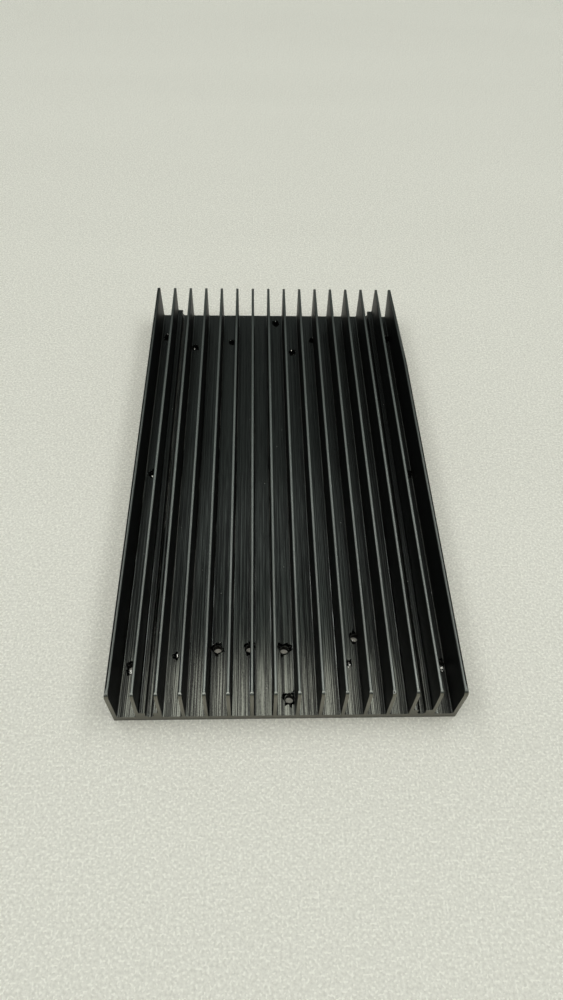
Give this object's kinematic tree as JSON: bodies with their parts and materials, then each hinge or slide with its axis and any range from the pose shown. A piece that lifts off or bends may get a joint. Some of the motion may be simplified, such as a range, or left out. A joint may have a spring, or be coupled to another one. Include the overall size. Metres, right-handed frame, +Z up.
{
  "type": "extruded heat sink",
  "caption": "Straight-finned extruded aluminium heat sink, black anodised, with a flat base, open screw ports and tapped holes for bolting on devices.",
  "frame": {"origin": "centre of the flat underside", "axes": "+Y along the fins towards the back end, +Z up out of the fin tips, +X to the right"},
  "size_m": [0.1008, 0.1818, 0.017],
  "materials": {
    "black_anodised": "black anodised, satin, with fine die lines along the bar"
  },
  "bodies": {
    "root": {"heat_sink": "black_anodised"}
  },
  "joints": []
}
